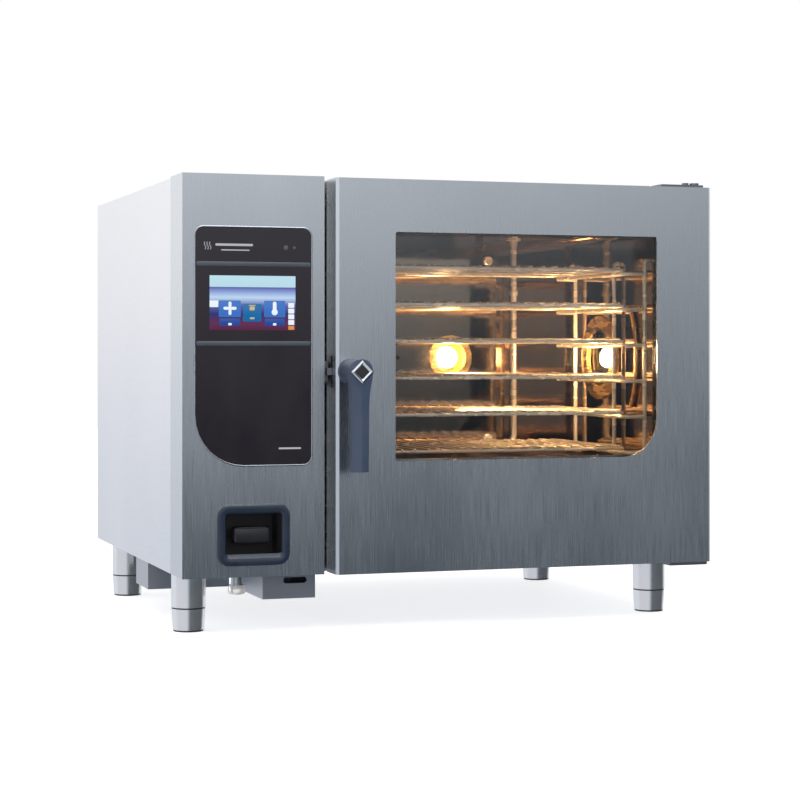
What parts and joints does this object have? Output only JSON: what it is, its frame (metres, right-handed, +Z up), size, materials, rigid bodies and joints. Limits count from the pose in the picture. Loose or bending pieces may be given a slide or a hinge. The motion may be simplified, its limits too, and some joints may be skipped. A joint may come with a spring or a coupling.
{
  "type": "combi steamer oven",
  "caption": "Table-top combi steamer oven with touch panel column, glazed side-hinged door, wire shelves, fan, hand shower and adjustable feet.",
  "frame": {"origin": "on the floor below the middle of the overall box", "axes": "+X to the right as seen from the front, +Y to the back, +Z up; the door and control panel face -Y"},
  "size_m": [0.987, 0.933, 0.815],
  "materials": {
    "casing_steel": "satin brushed",
    "front_steel": "fine vertical brushing",
    "chamber_steel": "polished, lightly heat tinted",
    "galvanised": "dull galvanised sheet",
    "mineral_wool": "matt fibre",
    "seal_rubber": "soft matt",
    "wire_steel": "electropolished",
    "heater_tube": "oxidised",
    "motor_paint": "hammered paint",
    "lamp_ring": "polished, warm",
    "lamp_glass": "clear heat-proof",
    "panel_glass": "gloss black printed glass",
    "bright_trim": "bright",
    "panel_rib": "satin",
    "display_case": "matt",
    "board_green": "solder mask",
    "contactor_plastic": "matt",
    "bezel_plastic": "satin moulded",
    "recess_plastic": "matt moulded",
    "inlet_brass": "machined",
    "gland_plastic": "matt",
    "foot_chrome": "bright, dark joint and pad",
    "bracket_steel": "blackened",
    "grip_plastic": "satin",
    "door_glass": "clear float glass",
    "handle_plastic": "satin, fine grain"
  },
  "bodies": {
    "cabinet": {"base_tray": "galvanised", "base_rails": "galvanised", "left_side_panel": "casing_steel", "right_side_panel": "casing_steel", "rear_panel": "casing_steel", "top_cover": "casing_steel", "control_fascia": "front_steel", "partition_wall": "galvanised", "face_frame": "chamber_steel", "cavity_liner": "chamber_steel", "insulation_slabs": "mineral_wool", "door_seal": "seal_rubber", "fan_baffle": "chamber_steel", "rack_left": "wire_steel", "rack_right": "wire_steel", "heating_coil": "heater_tube", "fan_motor": "motor_paint", "steam_generator": "galvanised", "steam_pipe": "wire_steel", "lamp_bezels": "lamp_ring", "lamp_glasses": "lamp_glass", "control_glass": "panel_glass", "control_trim": "bright_trim", "panel_ribs": "panel_rib", "touch_display": "display_case", "control_board": "board_green", "contactor_rail": "contactor_plastic", "shower_bezel": "bezel_plastic", "shower_cup": "recess_plastic", "drain_box": "casing_steel", "drain_pipe": "galvanised", "filter_box": "casing_steel", "water_inlets": "inlet_brass", "vent_stack": "casing_steel", "cable_gland": "gland_plastic", "foot_sleeves": "foot_chrome", "hinge_brackets": "bracket_steel", "latch_keeper": "bracket_steel"},
    "shower": {"shower_head": "grip_plastic"},
    "hose_reel": {"hose_reel": "gland_plastic"},
    "fan": {"fan_wheel": "chamber_steel", "fan_shaft": "wire_steel"},
    "door": {"door_skin": "front_steel", "door_inner": "chamber_steel", "outer_glass": "door_glass", "hinge_bushes": "inlet_brass"},
    "inner_pane": {"inner_glass": "door_glass"},
    "handle": {"handle_grip": "handle_plastic", "handle_badge": "bright_trim", "handle_shaft": "bracket_steel"},
    "shelf_1": {"shelf_1": "wire_steel"},
    "shelf_2": {"shelf_2": "wire_steel"},
    "shelf_3": {"shelf_3": "wire_steel"},
    "shelf_4": {"shelf_4": "wire_steel"},
    "shelf_5": {"shelf_5": "wire_steel"},
    "shelf_6": {"shelf_6": "wire_steel"},
    "foot_front_left": {"foot_cup_1": "foot_chrome"},
    "foot_front_right": {"foot_cup_2": "foot_chrome"},
    "foot_rear_left": {"foot_cup_3": "foot_chrome"},
    "foot_rear_right": {"foot_cup_4": "foot_chrome"}
  },
  "joints": [
    {"name": "door_hinge", "type": "hinge", "parent": "cabinet", "child": "door", "pos_m": [0.4665, -0.3735, 0.4], "axis": [0, 0, 1], "range_deg": [0, 120]},
    {"name": "pane_hinge", "type": "hinge", "parent": "door", "child": "inner_pane", "pos_m": [0.4065, -0.3395, 0.5], "axis": [0, 0, 1], "range_deg": [-18, 0]},
    {"name": "handle_turn", "type": "hinge", "parent": "door", "child": "handle", "pos_m": [-0.2015, -0.3915, 0.4515], "axis": [0, 1, 0], "range_deg": [-90, 90]},
    {"name": "fan_spin", "type": "hinge", "parent": "cabinet", "child": "fan", "pos_m": [-0.0235, 0.1665, 0.474], "axis": [0, 1, 0], "continuous": true},
    {"name": "shower_pull", "type": "slide", "parent": "cabinet", "child": "shower", "axis": [0, -1, 0], "range_m": [0, 0.12]},
    {"name": "reel_turn", "type": "hinge", "parent": "cabinet", "child": "hose_reel", "pos_m": [-0.369, -0.1685, 0.2405], "axis": [1, 0, 0], "range_deg": [-120, 120]},
    {"name": "shelf_1_slide", "type": "slide", "parent": "cabinet", "child": "shelf_1", "axis": [0, -1, 0], "range_m": [0, 0.235]},
    {"name": "shelf_2_slide", "type": "slide", "parent": "cabinet", "child": "shelf_2", "axis": [0, -1, 0], "range_m": [0, 0.235]},
    {"name": "shelf_3_slide", "type": "slide", "parent": "cabinet", "child": "shelf_3", "axis": [0, -1, 0], "range_m": [0, 0.235]},
    {"name": "shelf_4_slide", "type": "slide", "parent": "cabinet", "child": "shelf_4", "axis": [0, -1, 0], "range_m": [0, 0.235]},
    {"name": "shelf_5_slide", "type": "slide", "parent": "cabinet", "child": "shelf_5", "axis": [0, -1, 0], "range_m": [0, 0.235]},
    {"name": "shelf_6_slide", "type": "slide", "parent": "cabinet", "child": "shelf_6", "axis": [0, -1, 0], "range_m": [0, 0.235]},
    {"name": "foot_front_left_screw", "type": "slide", "parent": "cabinet", "child": "foot_front_left", "axis": [0, 0, 1], "range_m": [-0.03, 0]},
    {"name": "foot_front_right_screw", "type": "slide", "parent": "cabinet", "child": "foot_front_right", "axis": [0, 0, 1], "range_m": [-0.03, 0]},
    {"name": "foot_rear_left_screw", "type": "slide", "parent": "cabinet", "child": "foot_rear_left", "axis": [0, 0, 1], "range_m": [-0.03, 0]},
    {"name": "foot_rear_right_screw", "type": "slide", "parent": "cabinet", "child": "foot_rear_right", "axis": [0, 0, 1], "range_m": [-0.03, 0]}
  ],
  "couplings": [
    {"joint": "pane_hinge", "follows": "door_hinge", "ratio": -0.15},
    {"joint": "reel_turn", "follows": "shower_pull", "rad_per_m": 16.667},
    {"joint": "shelf_1_slide", "follows": "door_hinge", "m_per_rad": 0.11},
    {"joint": "shelf_2_slide", "follows": "door_hinge", "m_per_rad": 0.11},
    {"joint": "shelf_3_slide", "follows": "door_hinge", "m_per_rad": 0.11},
    {"joint": "shelf_4_slide", "follows": "door_hinge", "m_per_rad": 0.11},
    {"joint": "shelf_5_slide", "follows": "door_hinge", "m_per_rad": 0.11},
    {"joint": "shelf_6_slide", "follows": "door_hinge", "m_per_rad": 0.11}
  ]
}
